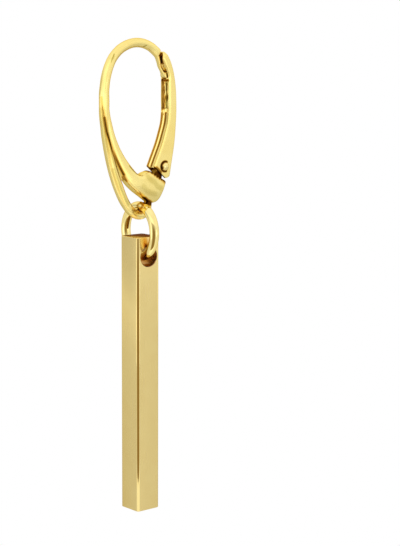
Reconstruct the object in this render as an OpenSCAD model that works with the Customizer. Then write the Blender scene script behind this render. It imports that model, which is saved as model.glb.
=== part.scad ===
// Drop earring: a lever-back ear hook, a jump ring and a long square bar that hangs from it.
// The origin is where the ear lobe carries the hook, at the inner top of its arch.
// +Z is up, +X points from the front of the hook to its lever, and Y runs across the hook.

/* [Bar] */
// Side of the square bar
bar_side = 3; // [2.5:0.1:3.5]
// Length of the bar
bar_length = 30; // [20:0.5:45]
// Radius of the bar's four long edges
bar_edge_r = 0.28; // [0.05:0.01:0.4]
// Diameter of the cross hole in the bar
hole_d = 2.2; // [2.1:0.05:2.4]
// Distance from the bar's top face to the middle of the hole
hole_drop = 2.08; // [1.9:0.02:2.6]

/* [Jump ring] */
// Thickness of the ring's wire
ring_wire = 1.02; // [0.8:0.02:1.1]
// Radius of the ring at the middle of its wire
ring_r = 2.68; // [2.64:0.02:3]
// Turn of the ring about the upright, as it hangs
ring_turn = 4; // [0:1:6]
// Gap between the ring and the hook's loop that carries it
ring_gap = 0.05; // [0.03:0.01:0.1]
// Gap between the ring and the top of the bar's hole
bar_gap = 0.08; // [0.05:0.01:0.15]

/* [Hook] */
// Diameter of the round wire over the ear
wire_d = 1; // [0.9:0.02:1.06]
// Width of the front strip and of the loop
strip_w = 1; // [0.9:0.05:1.1]
// Greatest width of the base block
base_w = 1.7; // [1.6:0.05:1.8]

/* [Lever] */
// Width across the lever
lever_w = 1.6; // [1.5:0.05:1.7]
// Thickness of the lever's side walls
lever_wall = 0.28; // [0.25:0.01:0.32]
// Thickness of the lever's back beside the hinge
lever_back = 0.35; // [0.25:0.05:0.4]
// Radius of the lever's two front edges
lever_front_r = 0.2; // [0.05:0.01:0.22]
// Depth of the snap bead's seat in the lever's front
seat_depth = 0.65; // [0.6:0.01:0.7]
// Depth of the rough stretch below the seat
rough_depth = 0.2; // [0.1:0.05:0.3]
// Depth of the polished groove below that
groove_depth = 0.35; // [0.25:0.05:0.45]
// Play between the lever's walls and what lies between them
lever_play = 0.05; // [0.04:0.01:0.08]

/* [Rivet] */
// Diameter of the rivet's shank
rivet_d = 0.6; // [0.5:0.02:0.66]
// Radial gap round the shank
rivet_gap = 0.03; // [0.02:0.01:0.05]
// Diameter of the rivet's heads
head_d = 1; // [0.9:0.05:1.1]
// Height of the rivet's heads
head_h = 0.24; // [0.15:0.01:0.3]
// Gap under each head
head_gap = 0.03; // [0.02:0.01:0.05]

/* [Hidden] */

// Columns of the tables of wires
X = 0;
Z = 1;
THICK = 2;
WIDE = 3;
SQUARE = 4;

// Middle line of the arch, the front strip and its closed loop.
// Columns: x, z, thickness, width, squareness of the section (2 is round).
front_wire = [
    [2.86, -0.63, wire_d, wire_d, 2],
    [1.95, 0.02, wire_d, wire_d, 2],
    [0.95, 0.41, wire_d, wire_d, 2],
    [-0.1, wire_d / 2, wire_d, wire_d, 2],
    [-1.2, 0.29, wire_d, wire_d, 2],
    [-2.33, -0.27, wire_d, wire_d, 2],
    [-3.28, -1.24, wire_d, wire_d, 2],
    [-3.95, -2.7, wire_d + 0.03, wire_d, 2],
    [-4.25, -4.3, wire_d + 0.08, wire_d, 2],
    [-4.28, -5.6, wire_d + 0.15, strip_w, 2],
    [-4.28, -6.9, 1.05, strip_w, 2.2],
    [-4.21, -8.1, 0.88, strip_w, 2.2],
    [-4.06, -9.35, 0.82, strip_w, 2.2],
    [-3.8, -10.6, 0.86, strip_w, 2.2],
    [-3.45, -11.9, 0.95, strip_w, 2.2],
    [-3, -13.25, 1.04, strip_w, 2.2],
    [-2.44, -14.6, 1.08, strip_w, 2.2],
    [-1.78, -15.95, 1, strip_w, 2.2],
    [-0.95, -17.05, 0.95, strip_w, 2.2],
    [0, -17.68, 0.9, strip_w, 2.2],
    [0.85, -17.68, 0.85, strip_w, 2.2],
    [1.42, -17.15, 0.7, strip_w, 2.2],
    [1.52, -16.1, 0.7, strip_w, 2.2]];

// Outline of the cut that makes room for the lever's lip at the wire's end
lip_room = [[3.2, -0.1], [2.86, -0.5], [2.88, -1.5], [4, -1.5], [4, 0.6]];

// Thin tongue from the wire's cut end down to the snap bead, with the same columns.
tongue = [
    [2.5, -0.5, 0.5, 0.8, 2],
    [2.82, -1.08, 0.38, 0.7, 2],
    [2.98, -1.6, 0.3, 0.6, 2],
    [3.16, -2.15, 0.26, 0.5, 2],
    [3.7, -2.88, 0.26, 0.45, 2]];
bead_x = 3.84;
bead_z = -2.93;
bead_d = 0.62;

// Inner branch and base block, one section a row.
// Columns: x and z of its lower edge, x and z of its upper edge, width, squareness.
branch = [
    [-4.4, -5.5, -3.85, -5.6, 0.85 * strip_w, 2],
    [-4.4, -7.1, -3.66, -6.9, 0.98 * strip_w, 2.2],
    [-4.2, -8.45, -3.34, -8.2, 1.04, 2.4],
    [-3.85, -9.8, -2.9, -9.45, 1.1, 2.5],
    [-3.4, -11, -2.35, -10.55, 1.18, 2.6],
    [-2.86, -12.2, -1.68, -11.55, 1.27, 2.7],
    [-2.2, -13.35, -0.93, -12.44, 1.4, 2.8],
    [-1.39, -14.33, -0.24, -13.14, base_w - 0.15, 3],
    [-0.49, -15.11, 0.34, -13.33, base_w - 0.05, 3.2],
    [0.5, -15.8, 0.97, -13.12, base_w, 3.2],
    [1.5, -16.42, 1.93, -12.92, base_w, 3.2],
    [2.42, -16.36, 2.82, -13.25, base_w - 0.05, 3.2],
    [3.04, -15.55, 3.28, -13.7, base_w - 0.15, 3],
    [3.43, -14.62, 3.52, -14.12, base_w - 0.4, 2.5]];

// Lever, one section a row from its lip down.
// Columns: x and z of its front edge, x and z of its back, width, radius of its back corners.
lever_rows = [
    [3.18, -0.54, 3.38, -0.44, 0.6 * lever_w, 0.08],
    [3.12, -0.82, 3.74, -0.74, 0.88 * lever_w, 0.25],
    [3.13, -1.22, 4.06, -1.18, 0.98 * lever_w, 0.38],
    [3.3, -1.75, 4.34, -1.75, lever_w, 0.4],
    [3.6, -2.35, 4.58, -2.35, lever_w, 0.4],
    [3.84, -3, 4.76, -3, lever_w, 0.4],
    [3.87, -3.9, 4.92, -3.9, lever_w, 0.4],
    [3.87, -5.2, 5.04, -5.2, lever_w, 0.4],
    [3.87, -6.6, 5.06, -6.6, lever_w, 0.4],
    [3.74, -7.9, 5, -7.9, lever_w, 0.4],
    [3.38, -9.1, 4.91, -9.1, lever_w, 0.4],
    [2.93, -10.3, 4.76, -10.3, lever_w, 0.4],
    [2.42, -11.4, 4.56, -11.4, lever_w, 0.4],
    [1.9, -12.5, 4.32, -12.5, lever_w, 0.4],
    [1.4, -13.7, 4.08, -13.7, lever_w, 0.4],
    [0.9, -14.9, 3.84, -14.9, lever_w, 0.4]];

// Groove along the lever's front, from the snap bead's seat down.
// Columns: place between the rows of the lever's table, depth.
groove = [
    [3, seat_depth],
    [4.4, seat_depth],
    [5.5, seat_depth],
    [5.8, rough_depth],
    [7, rough_depth],
    [7.8, rough_depth],
    [8.1, groove_depth],
    [10, groove_depth],
    [11.5, groove_depth],
    [14, groove_depth]];
groove_square = 2.6;

// Hinge: the rivet's place, the hook's eye, and how far the lever's ears reach from the rivet
rivet_x = 3.23;
rivet_z = -12.61;
eye_r = 0.6;
neck = [[-1.15, -1.3], [-0.52, 0.3], [0, 0], [-0.08, -eye_r], [-0.2, -1.9]];
ear_r = 1.27;
ear_start = 0.3;
pocket_row = 12.35;
pocket_front = groove_depth + 0.22;
web_end_z = -12.75;
bore_d = rivet_d + 2 * rivet_gap;
inner_w = lever_w - 2 * lever_wall;
eye_w = inner_w - 2 * lever_play;
bead_w = inner_w - 4 * lever_play;

// Lower edge of the lever, and the shoulder of the base block with a gap below that edge
lever_end = [[1.74, -12.46], [3.36, -13.9]];
shoulder = [[1.17, -12.81], [2.44, -13.71], [3.32, -14.12]];
slope = atan2(lever_end[1].y - lever_end[0].y, lever_end[1].x - lever_end[0].x);

// Reach of the cutting shapes past what they cut
reach = 3;

// Fineness of the lofts: sections between two rows of a table, and sides of a whole section
steps = 3;
sides = 20;
corner_steps = 5;

// Ring and bar hang one below the other, under the lowest point of the loop's inside
loop_bottom = smooth(front_wire, 19.5);
hang_x = loop_bottom[X];
ring_z = loop_bottom[Z] + loop_bottom[THICK] / 2 + ring_gap + ring_wire / 2 - ring_r;
ring_inner_r = ring_r - ring_wire / 2;
ring_at_face_z = ring_z - sqrt(pow(ring_inner_r, 2) - pow(bar_side / 2, 2));
bar_top_z = ring_at_face_z + bar_gap + hole_drop - hole_d / 2;

// Signed power, for the rounded squares of the sections
function spow(v, e) = sign(v) * pow(abs(v), e);

// Row of a table at a place u between its rows, along a smooth curve through them
function smooth(rows, u) =
    let (i = min(floor(u), len(rows) - 2),
         f = u - i,
         a = rows[max(i - 1, 0)],
         b = rows[i],
         c = rows[i + 1],
         d = rows[min(i + 2, len(rows) - 1)])
    b + f / 2 * (c - a + f * (2 * a - 5 * b + 4 * c - d + f * (3 * (b - c) + d - a)));

// Places between the rows at which a loft has its sections
function places(rows) = [for (k = [0 : (len(rows) - 1) * steps]) k / steps];

// Points of a section about c, with half its depth as the vector h in the XZ plane
function section(c, h, wide, square, angles) = [for (a = angles)
    let (along = spow(cos(a), 2 / square),
         across = spow(sin(a), 2 / square))
    [c.x + h.x * along, across * wide / 2, c.y + h.y * along]];

whole_turn = [for (k = [0 : sides - 1]) 360 * k / sides];
quarter_turn = [for (k = [0 : corner_steps]) 90 * k / corner_steps];

// Sections of a wire, square to its middle line
function wire_sections(rows) = [for (u = places(rows))
    let (r = smooth(rows, u),
         way = smooth(rows, min(u + 0.02, len(rows) - 1)) - smooth(rows, max(u - 0.02, 0)),
         h = [way[Z], -way[X]] / norm([way[X], way[Z]]) * r[THICK] / 2)
    section([r[X], r[Z]], h, r[WIDE], r[SQUARE], whole_turn)];

// Sections between the two edges of a table with both edges in each row
function edge_sections(rows) = [for (u = places(rows))
    let (r = smooth(rows, u),
         low = [r[0], r[1]],
         high = [r[2], r[3]])
    section((low + high) / 2, (low - high) / 2, r[4], r[5], whole_turn)];

// Sections with a flat front and four rounded corners, the front ones smaller
function lever_sections(rows) = [for (u = places(rows))
    let (row = smooth(rows, u),
         front = [row[0], row[1]],
         depth = norm([row[2], row[3]] - front),
         way = ([row[2], row[3]] - front) / depth,
         half_w = row[4] / 2,
         r = row[5],
         f = min(lever_front_r, depth / 3),
         front_far = [for (a = quarter_turn) [f - f * cos(a), half_w - f + f * sin(a)]],
         far = [for (a = quarter_turn) [depth - r + r * sin(a), half_w - r + r * cos(a)]],
         near = [for (a = quarter_turn) [depth - r + r * cos(a), r - half_w - r * sin(a)]],
         front_near = [for (a = quarter_turn) [f - f * sin(a), f - half_w - f * cos(a)]],
         outline = concat(front_far, far, near, front_near))
    [for (p = outline) [front.x + way.x * p.x, p.y, front.y + way.y * p.x]]];

// Sections of the groove, half of each lying in front of the lever
function groove_sections(rows) = [for (u = places(rows))
    let (g = smooth(rows, u),
         r = smooth(lever_rows, g[0]),
         front = [r[0], r[1]],
         way = ([r[2], r[3]] - front) / norm([r[2], r[3]] - front))
    section(front, -way * g[1], inner_w, groove_square, whole_turn)];

// Closed solid through sections that all have the same number of points
module skin(sections) {
    n = len(sections[0]);
    last = len(sections) - 1;
    points = [for (s = sections) each s];
    start_cap = [for (i = [0 : n - 1]) i];
    end_cap = [for (i = [n - 1 : -1 : 0]) last * n + i];
    walls = [for (j = [0 : last - 1], i = [0 : n - 1])
        let (k = (i + 1) % n)
        each [[j * n + k, j * n + i, (j + 1) * n + i], [j * n + k, (j + 1) * n + i, (j + 1) * n + k]]];
    polyhedron(points = points, faces = concat([start_cap, end_cap], walls));
}

// Flat outline in the XZ plane, made solid to a width across the hook
module across(width) {
    rotate([90, 0, 0])
        linear_extrude(height = width, center = true)
            children();
}

// Straight pin or bore across the hook
module cross_pin(x, z, d, length) {
    translate([x, 0, z])
        rotate([90, 0, 0])
            cylinder(d = d, h = length, center = true, $fn = 48);
}

// Cut across the wire's end, which makes room for the lever's lip
module wire_notch() {
    across(2 * wire_d)
        polygon(lip_room);
}

// Cut above the shoulder, to clear the lever's ears
module shoulder_cut() {
    across(2 * base_w)
        polygon([
            each shoulder,
            shoulder[2] + [1, -0.4],
            shoulder[2] + [1, 1.8],
            shoulder[0] + [0, 0.9]]);
}

// Narrow neck and round eye that go up between the lever's ears
module hinge_eye() {
    across(eye_w) {
        translate([rivet_x, rivet_z])
            circle(r = eye_r, $fn = 48);
        translate([rivet_x, rivet_z])
            polygon(neck);
    }
}

module ear_hook() {
    color([0.93, 0.79, 0.42])
    difference() {
        union() {
            difference() {
                skin(wire_sections(front_wire));
                wire_notch();
            }
            skin(wire_sections(tongue));
            difference() {
                skin(edge_sections(branch));
                shoulder_cut();
            }
            hinge_eye();
            cross_pin(bead_x, bead_z, bead_d, bead_w);
        }
        cross_pin(rivet_x, rivet_z, bore_d, 2 * lever_w);
    }
}

// Pocket between the lever's ears for the hook's eye, behind the groove and open to the lower end
module hinge_pocket() {
    rows = [for (u = [pocket_row : 0.5 : len(lever_rows) - 1]) smooth(lever_rows, u)];
    across(inner_w)
        polygon(concat(
            [for (r = rows) [r[2] - lever_back, r[3]]],
            [for (k = [len(rows) - 1 : -1 : 0]) [rows[k][0] + pocket_front, rows[k][1]]]));
    across(inner_w)
        translate([rivet_x - reach, web_end_z - reach])
            square([2 * reach, reach]);
}

// What is cut from the lever's lower end, a slanted edge and an arc about the rivet
module lever_end_cut() {
    across(2 * lever_w)
        translate(lever_end[0])
            rotate(slope)
                translate([-reach, -reach])
                    square([3 * reach, reach]);
    across(2 * lever_w)
        translate([rivet_x, rivet_z])
            difference() {
                translate([0, -reach])
                    square([reach, reach - ear_start]);
                circle(r = ear_r, $fn = 48);
            }
}

module lever() {
    color([0.9, 0.76, 0.4])
    difference() {
        skin(lever_sections(lever_rows));
        skin(groove_sections(groove));
        hinge_pocket();
        lever_end_cut();
        cross_pin(rivet_x, rivet_z, bore_d, 2 * lever_w);
    }
}

module rivet() {
    sphere_r = (pow(head_d / 2, 2) + pow(head_h, 2)) / (2 * head_h);
    seat = lever_w / 2 + head_gap;
    color([0.96, 0.84, 0.5]) {
        cross_pin(rivet_x, rivet_z, rivet_d, 2 * seat + 0.1);
        for (side = [-1, 1])
            translate([rivet_x, side * seat, rivet_z])
                rotate([-90 * side, 0, 0])
                    intersection() {
                        cylinder(d = head_d, h = head_h, $fn = 48);
                        translate([0, 0, head_h - sphere_r])
                            sphere(r = sphere_r, $fn = 64);
                    }
    }
}

module jump_ring() {
    color([0.92, 0.78, 0.4])
    translate([hang_x, 0, ring_z])
        rotate([0, 0, -ring_turn])
            rotate([0, 90, 0])
                rotate_extrude($fn = 96)
                    translate([ring_r, 0])
                        circle(d = ring_wire, $fn = 32);
}

// Square with rounded corners
module bar_section() {
    inner = bar_side - 2 * bar_edge_r;
    square([inner, bar_side], center = true);
    square([bar_side, inner], center = true);
    for (x = [-1, 1], y = [-1, 1])
        translate([x * inner / 2, y * inner / 2])
            circle(r = bar_edge_r, $fn = 32);
}

module bar() {
    color([0.85, 0.72, 0.42])
    difference() {
        translate([hang_x, 0, bar_top_z - bar_length])
            linear_extrude(height = bar_length)
                bar_section();
        cross_pin(hang_x, bar_top_z - hole_drop, hole_d, 2 * bar_side);
    }
}

ear_hook();
lever();
rivet();
jump_ring();
bar();
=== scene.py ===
import math

import bmesh
import bpy
import numpy as np
from mathutils import Matrix, Vector, noise


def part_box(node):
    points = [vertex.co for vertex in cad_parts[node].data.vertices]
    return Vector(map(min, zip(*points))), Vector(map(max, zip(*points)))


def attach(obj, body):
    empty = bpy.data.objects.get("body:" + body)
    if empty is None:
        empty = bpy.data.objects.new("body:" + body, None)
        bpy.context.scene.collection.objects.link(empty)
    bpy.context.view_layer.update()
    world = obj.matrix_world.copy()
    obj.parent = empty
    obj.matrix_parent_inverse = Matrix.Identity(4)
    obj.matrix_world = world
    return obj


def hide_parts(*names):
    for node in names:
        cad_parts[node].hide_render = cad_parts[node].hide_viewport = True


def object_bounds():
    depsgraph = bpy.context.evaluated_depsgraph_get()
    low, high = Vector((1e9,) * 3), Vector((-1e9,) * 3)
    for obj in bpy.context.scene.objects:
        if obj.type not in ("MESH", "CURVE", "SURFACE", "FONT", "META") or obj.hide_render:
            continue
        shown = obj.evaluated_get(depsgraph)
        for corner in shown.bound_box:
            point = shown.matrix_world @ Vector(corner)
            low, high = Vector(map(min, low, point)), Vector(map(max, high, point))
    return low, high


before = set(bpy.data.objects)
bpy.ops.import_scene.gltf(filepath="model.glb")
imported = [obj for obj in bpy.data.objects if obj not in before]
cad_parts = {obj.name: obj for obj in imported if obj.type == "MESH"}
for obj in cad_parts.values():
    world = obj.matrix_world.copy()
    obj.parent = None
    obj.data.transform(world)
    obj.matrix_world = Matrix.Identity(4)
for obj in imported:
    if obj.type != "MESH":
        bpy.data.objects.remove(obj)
cad_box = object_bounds()

MM = 0.001


# Sizes of the part

# Widths of the hook: its wire, its front strip, its base block
WIRE_D = 1.0
STRIP_W = 1.0
BASE_W = 1.7

# Lever: width, walls, rounding of its front edges, depths of its three stretches, play of what lies in it
LEVER_W = 1.6
LEVER_WALL = 0.28
LEVER_BACK = 0.35
LEVER_FRONT_R = 0.2
SEAT_DEPTH = 0.65
ROUGH_DEPTH = 0.2
GROOVE_DEPTH = 0.35
LEVER_PLAY = 0.05
INNER_W = LEVER_W - 2 * LEVER_WALL
EYE_W = INNER_W - 2 * LEVER_PLAY
BEAD_W = INNER_W - 4 * LEVER_PLAY

# Rivet with its bore and its heads, the hook's eye and the lever's ears round it
RIVET_X = 3.23
RIVET_Z = -12.61
RIVET_D = 0.6
RIVET_GAP = 0.03
BORE_D = RIVET_D + 2 * RIVET_GAP
HEAD_D = 1.0
HEAD_H = 0.24
HEAD_GAP = 0.03
HEAD_EDGE = 0.02
EYE_R = 0.6
EAR_R = 1.27
EAR_START = 0.3

# Bar: side, its worn edges and their squareness, its rims, its hole and how far that lies under the top
BAR_SIDE = 3.0
BAR_EDGE_R = 0.28
BAR_EDGE_SQUARE = 1.5
BAR_RIM = 0.1
HOLE_D = 2.2
HOLE_DROP = 2.08
HOLE_FLARE = 0.05

# Ring: wire, radius, and turn about the upright in degrees
RING_WIRE = 1.02
RING_R = 2.68
RING_TURN = 4

# Reach of the cutting shapes past what they cut
REACH = 3

# Middle line of the arch, the front strip and its closed loop: x, z, thickness, width, squareness
FRONT_WIRE = [
    *[(x, z, WIRE_D, WIRE_D, 2) for x, z in (
        (2.86, -0.63), (1.95, 0.02), (0.95, 0.41), (-0.1, WIRE_D / 2), (-1.2, 0.29), (-2.33, -0.27),
        (-3.28, -1.24))],
    (-3.95, -2.7, WIRE_D + 0.03, WIRE_D, 2),
    (-4.25, -4.3, WIRE_D + 0.08, WIRE_D, 2),
    (-4.28, -5.6, WIRE_D + 0.15, STRIP_W, 2),
    *[(x, z, thick, STRIP_W, 2.2) for x, z, thick in (
        (-4.28, -6.9, 1.05), (-4.21, -8.1, 0.88), (-4.06, -9.35, 0.82), (-3.8, -10.6, 0.86),
        (-3.45, -11.9, 0.95), (-3, -13.25, 1.04), (-2.44, -14.6, 1.08), (-1.78, -15.95, 1),
        (-0.95, -17.05, 0.95), (0, -17.68, 0.9), (0.85, -17.68, 0.85), (1.42, -17.15, 0.7),
        (1.52, -16.1, 0.7))],
]

# Tongue from the wire's end to the snap bead, with the same columns
TONGUE = [
    (2.5, -0.5, 0.5, 0.8, 2),
    (2.82, -1.08, 0.38, 0.7, 2),
    (2.98, -1.6, 0.3, 0.6, 2),
    (3.16, -2.15, 0.26, 0.5, 2),
    (3.7, -2.88, 0.26, 0.45, 2),
]
BEAD = (3.84, -2.93)
BEAD_D = 0.62

# Crease on the near side where the front strip parts from the branch: x, y, z, radius
CREASE = [
    (-4.78, -0.26, -5.6, 0.01),
    (-4.69, -0.34, -6.4, 0.02),
    (-4.57, -0.44, -7.2, 0.03),
    (-4.3, -0.48, -8.65, 0.05),
    (-3.95, -0.5, -9.65, 0.06),
    (-3.6, -0.52, -10.6, 0.07),
    (-3.13, -0.52, -11.5, 0.07),
    (-2.7, -0.5, -12.3, 0.05),
    (-2.12, -0.52, -13.25, 0.05),
]

# Inner branch and base block: x and z of the lower edge, x and z of the upper edge, width, squareness
BRANCH = [
    (-4.4, -5.5, -3.85, -5.6, 0.85 * STRIP_W, 2),
    (-4.4, -7.1, -3.66, -6.9, 0.98 * STRIP_W, 2.2),
    (-4.2, -8.45, -3.34, -8.2, 1.04, 2.4),
    (-3.85, -9.8, -2.9, -9.45, 1.1, 2.5),
    (-3.4, -11, -2.35, -10.55, 1.18, 2.6),
    (-2.86, -12.2, -1.68, -11.55, 1.27, 2.7),
    (-2.2, -13.35, -0.93, -12.44, 1.4, 2.8),
    (-1.39, -14.33, -0.24, -13.14, BASE_W - 0.15, 3),
    (-0.49, -15.11, 0.34, -13.33, BASE_W - 0.05, 3.2),
    (0.5, -15.8, 0.97, -13.12, BASE_W, 3.2),
    (1.5, -16.42, 1.93, -12.92, BASE_W, 3.2),
    (2.42, -16.36, 2.82, -13.25, BASE_W - 0.05, 3.2),
    (3.04, -15.55, 3.28, -13.7, BASE_W - 0.15, 3),
    (3.43, -14.62, 3.52, -14.12, BASE_W - 0.4, 2.5),
]

# Lever: x and z of the front edge, x and z of the back, width, radius of the back corners
LEVER_ROWS = [
    (3.18, -0.54, 3.38, -0.44, 0.6 * LEVER_W, 0.08),
    (3.12, -0.82, 3.74, -0.74, 0.88 * LEVER_W, 0.25),
    (3.13, -1.22, 4.06, -1.18, 0.98 * LEVER_W, 0.38),
    *[(x, z, back, z, LEVER_W, 0.4) for x, z, back in (
        (3.3, -1.75, 4.34), (3.6, -2.35, 4.58), (3.84, -3, 4.76), (3.87, -3.9, 4.92), (3.87, -5.2, 5.04),
        (3.87, -6.6, 5.06), (3.74, -7.9, 5), (3.38, -9.1, 4.91), (2.93, -10.3, 4.76), (2.42, -11.4, 4.56),
        (1.9, -12.5, 4.32), (1.4, -13.7, 4.08), (0.9, -14.9, 3.84))],
]

# Groove along the lever's front, from the snap bead's seat down: place between the lever's rows, depth
GROOVE = [
    (3, SEAT_DEPTH), (4.4, SEAT_DEPTH), (5.5, SEAT_DEPTH),
    (5.8, ROUGH_DEPTH), (7, ROUGH_DEPTH), (7.8, ROUGH_DEPTH),
    (8.1, GROOVE_DEPTH), (10, GROOVE_DEPTH), (11.5, GROOVE_DEPTH), (14, GROOVE_DEPTH),
]
GROOVE_SQUARE = 2.6

# Lower edge of the lever, and the shoulder of the base block with a gap below that edge
LEVER_END = ((1.74, -12.46), (3.36, -13.9))
SHOULDER = ((1.17, -12.81), (2.44, -13.71), (3.32, -14.12))

# Rest of the outline that is cut away over the shoulder
SHOULDER_ROOM = ((4.32, -14.52), (4.32, -12.32), (1.17, -11.91))

# Pocket between the lever's ears: where it starts between the rows, its depth, and where its back wall ends
POCKET_ROW = 12.35
POCKET_FRONT = GROOVE_DEPTH + 0.22
BACK_END_Z = -12.75

# Neck from the base up to the eye, about the rivet, and the notch in the wire for the lever's upper end
NECK = [(-1.15, -1.3), (-0.52, 0.3), (0, 0), (-0.08, -EYE_R), (-0.2, -1.9)]
LIP_ROOM = [(3.2, -0.1), (2.86, -0.5), (2.88, -1.5), (4, -1.5), (4, 0.6)]

# Fineness of the cast pieces: grid in millimetres and rounds of smoothing
HOOK_GRID = (0.05, 5)
LEVER_GRID = (0.038, 4)


# Mesh tools

def smooth_row(rows, u):
    """Row of a table at a place u between its rows, along a smooth curve through them."""
    i = min(int(u), len(rows) - 2)
    f = u - i
    a = rows[max(i - 1, 0)]
    b = rows[i]
    c = rows[i + 1]
    d = rows[min(i + 2, len(rows) - 1)]
    return b + f / 2 * (c - a + f * (2 * a - 5 * b + 4 * c - d + f * (3 * (b - c) + d - a)))


# Step over which a curve's direction is taken
NUDGE = 0.02


def way_at(rows, u):
    """Direction of the curve at a place u between a table's rows."""
    return smooth_row(rows, min(u + NUDGE, len(rows) - 1)) - smooth_row(rows, max(u - NUDGE, 0))


def places(rows, steps):
    """Places between the rows of a table at which a loft has its sections."""
    return [k / steps for k in range((len(rows) - 1) * steps + 1)]


def signed_power(v, e):
    """Power of a number's size, with the number's sign."""
    return np.sign(v) * np.abs(v) ** e


def section(centre, half, wide, square, sides):
    """Points of a rounded-square section about centre, with half its depth as a vector in the XZ plane."""
    angle = np.arange(sides) * 2 * math.pi / sides
    along = signed_power(np.cos(angle), 2 / square)
    across = signed_power(np.sin(angle), 2 / square)
    return np.stack(
        [centre[0] + half[0] * along, across * wide / 2, centre[1] + half[1] * along], axis=1
    )


def wire_sections(table, steps=10, sides=48):
    """Sections square to a middle line, from rows of x, z, thickness, width, squareness."""
    rows = np.array(table, float)
    found = []
    for u in places(rows, steps):
        r = smooth_row(rows, u)
        way = way_at(rows, u)
        half = np.array([way[1], -way[0]]) / math.hypot(way[0], way[1]) * r[2] / 2
        found.append(section(r[:2], half, r[3], r[4], sides))
    return found


def edge_sections(table, steps=12, sides=64):
    """Sections between two edges, from rows of both edges' x and z, width, squareness."""
    rows = np.array(table, float)
    found = []
    for u in places(rows, steps):
        r = smooth_row(rows, u)
        low = r[:2]
        high = r[2:4]
        found.append(section((low + high) / 2, (low - high) / 2, r[4], r[5], sides))
    return found


def lever_sections(table, steps=8, corner_steps=10):
    """Sections with four rounded corners: two of LEVER_FRONT_R in front, two of the row's radius behind."""
    rows = np.array(table, float)
    found = []
    for u in places(rows, steps):
        row = smooth_row(rows, u)
        front = row[:2]
        depth = math.hypot(*(row[2:4] - front))
        way = (row[2:4] - front) / depth
        half_w = row[4] / 2
        r = row[5]
        f = min(LEVER_FRONT_R, depth / 3)
        angles = np.linspace(0, math.pi / 2, corner_steps + 1)
        front_far = [(f - f * math.cos(a), half_w - f + f * math.sin(a)) for a in angles]
        far = [(depth - r + r * math.sin(a), half_w - r + r * math.cos(a)) for a in angles]
        near = [(depth - r + r * math.cos(a), r - half_w - r * math.sin(a)) for a in angles]
        front_near = [(f - f * math.sin(a), f - half_w - f * math.cos(a)) for a in angles]
        outline = front_far + far + near + front_near
        found.append(np.array([(front[0] + way[0] * x, y, front[1] + way[1] * x) for x, y in outline]))
    return found


def groove_sections(table, steps=8, sides=48):
    """Sections of the groove, each centred on the lever's front edge."""
    lever = np.array(LEVER_ROWS, float)
    rows = np.array(table, float)
    found = []
    for u in places(rows, steps):
        place, depth = smooth_row(rows, u)
        r = smooth_row(lever, place)
        way = (r[2:4] - r[:2]) / math.hypot(*(r[2:4] - r[:2]))
        found.append(section(r[:2], -way * depth, INNER_W, GROOVE_SQUARE, sides))
    return found


def add_object(name, data):
    """Object of a mesh, a light or a camera, in the scene."""
    obj = bpy.data.objects.new(name, data)
    bpy.context.scene.collection.objects.link(obj)
    return obj


def mesh_object(name, verts, faces):
    """Object of a mesh given in millimetres."""
    mesh = bpy.data.meshes.new(name)
    mesh.from_pydata([tuple(v) for v in np.asarray(verts) * MM], [], faces)
    mesh.validate()
    return add_object(name, mesh)


def solid(name, verts, faces):
    """Object of a closed mesh, with its faces turned outwards."""
    obj = mesh_object(name, verts, faces)
    bm = bmesh.new()
    bm.from_mesh(obj.data)
    bmesh.ops.recalc_face_normals(bm, faces=bm.faces)
    bm.to_mesh(obj.data)
    bm.free()
    return obj


def loft(name, sections):
    """Closed solid through sections that all have the same number of points."""
    n = len(sections[0])
    last = len(sections) - 1
    faces = [tuple(range(n)), tuple(last * n + i for i in reversed(range(n)))]
    for j in range(last):
        for i in range(n):
            k = (i + 1) % n
            faces.append((j * n + k, j * n + i, (j + 1) * n + i, (j + 1) * n + k))
    return solid(name, np.concatenate(sections), faces)


def tube(name, table, steps=6, sides=12, deep=2.2):
    """Thin rod along points, deep times as deep as wide, for cutting a crease: x, y, z, radius."""
    rows = np.array(table, float)
    found = []
    for u in places(rows, steps):
        r = smooth_row(rows, u)
        way = Vector(way_at(rows, u)[:3])
        side = way.cross(Vector((0, 1, 0))).normalized()
        out = side.cross(way).normalized()
        radius = float(r[3])
        angles = [2 * math.pi * k / sides for k in range(sides)]
        rim = [side * math.cos(a) + deep * out * math.sin(a) for a in angles]
        found.append(np.array([Vector(r[:3]) + radius * point for point in rim]))
    return loft(name, found)


def prism(name, outline, width):
    """Flat outline in the XZ plane, made solid to a width across the hook."""
    return loft(name, [[(x, y, z) for x, z in outline] for y in (-width / 2, width / 2)])


def block(name, low, high, width):
    """Block across the hook between two corners in the XZ plane."""
    return prism(name, [low, (high[0], low[1]), high, (low[0], high[1])], width)


def circle(x, z, r, count=64):
    """Points of a circle in the XZ plane."""
    return [(x + r * math.cos(2 * math.pi * k / count), z + r * math.sin(2 * math.pi * k / count))
            for k in range(count)]


def cross_pin(name, x, z, d, length):
    """Straight round pin across the hook."""
    return prism(name, circle(x, z, d / 2), length)


def turned(name, profile, count, place):
    """Solid of revolution: profile is (radius, height) from the axis to the axis, place is where it goes."""
    verts = []
    rings = []
    for r, h in profile:
        if r == 0:
            rings.append([len(verts)])
            verts.append((0, 0, h))
        else:
            rings.append(list(range(len(verts), len(verts) + count)))
            for k in range(count):
                a = 2 * math.pi * k / count
                verts.append((r * math.cos(a), r * math.sin(a), h))
    faces = []
    for low, high in zip(rings, rings[1:]):
        for k in range(count):
            m = (k + 1) % count
            quad = [low[k % len(low)], low[m % len(low)], high[m % len(high)], high[k % len(high)]]
            face = tuple(dict.fromkeys(quad))
            if len(face) > 2:
                faces.append(face)
    return solid(name, [place @ Vector(v) for v in verts], faces)


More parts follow.
